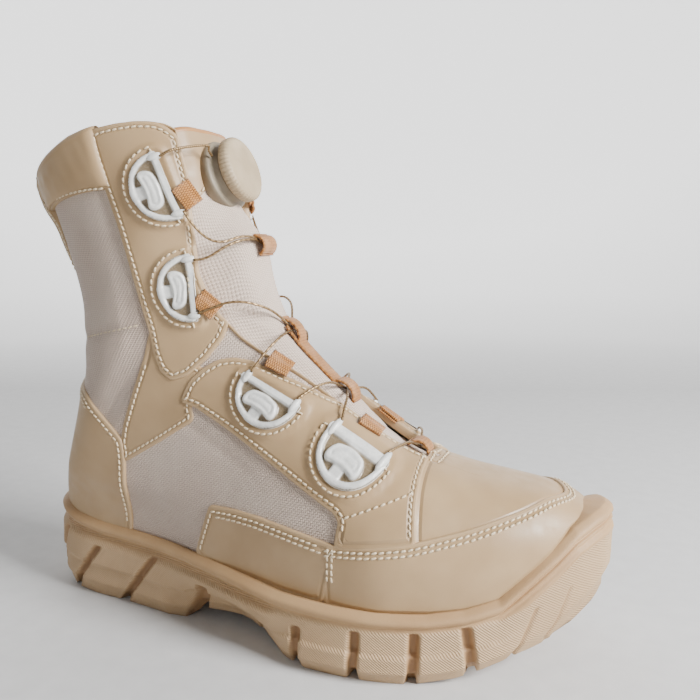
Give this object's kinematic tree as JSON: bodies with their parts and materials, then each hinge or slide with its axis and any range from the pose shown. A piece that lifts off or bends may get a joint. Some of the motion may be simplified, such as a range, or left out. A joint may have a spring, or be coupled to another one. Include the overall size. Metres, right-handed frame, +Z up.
{
  "type": "combat boot",
  "caption": "Right combat boot in tan leather and cloth with a dial lace, plastic lace guides, padded collar and a chunky lugged sole.",
  "frame": {"origin": "middle of the boot's bounding box on the ground", "axes": "+X to the toe, +Z up, -Y to the outer side of the foot"},
  "size_m": [0.3002, 0.1128, 0.2457],
  "materials": {
    "rubber": "matte",
    "cloth": "matte",
    "lining": "matte",
    "leather": "satin",
    "clear plastic": "satin",
    "plastic": "matte",
    "webbing": "matte",
    "coated steel": "satin"
  },
  "bodies": {
    "root": {"outsole": "rubber", "upper": "cloth", "insole": "lining", "tongue": "cloth", "heel_counter": "leather", "toe_rand": "leather", "panel_outer": "leather", "vamp_stay_outer": "leather", "shaft_stay_outer": "leather", "strap_outer": "leather", "panel_inner": "leather", "vamp_stay_inner": "leather", "shaft_stay_inner": "leather", "strap_inner": "leather", "collar_outer": "leather", "collar_inner": "leather", "back_tab": "leather", "guide_outer_1": "clear plastic", "guide_inner_1": "clear plastic", "guide_outer_2": "clear plastic", "guide_inner_2": "clear plastic", "guide_outer_3": "clear plastic", "guide_inner_3": "clear plastic", "guide_outer_4": "clear plastic", "guide_inner_4": "clear plastic", "loop_1": "webbing", "loop_2": "webbing", "loop_3": "webbing", "loop_4": "webbing", "tab_outer_1": "webbing", "tab_inner_1": "webbing", "tab_outer_2": "webbing", "tab_inner_2": "webbing", "tab_outer_3": "webbing", "tab_inner_3": "webbing", "tab_outer_4": "webbing", "tab_inner_4": "webbing", "dial_base": "plastic", "dial_knob": "plastic", "lace_crossing_1": "coated steel", "lace_crossing_2": "coated steel", "lace_crossing_3": "coated steel", "lace_bar": "coated steel", "lace_dial_outer": "coated steel", "lace_dial_inner": "coated steel"}
  },
  "joints": []
}
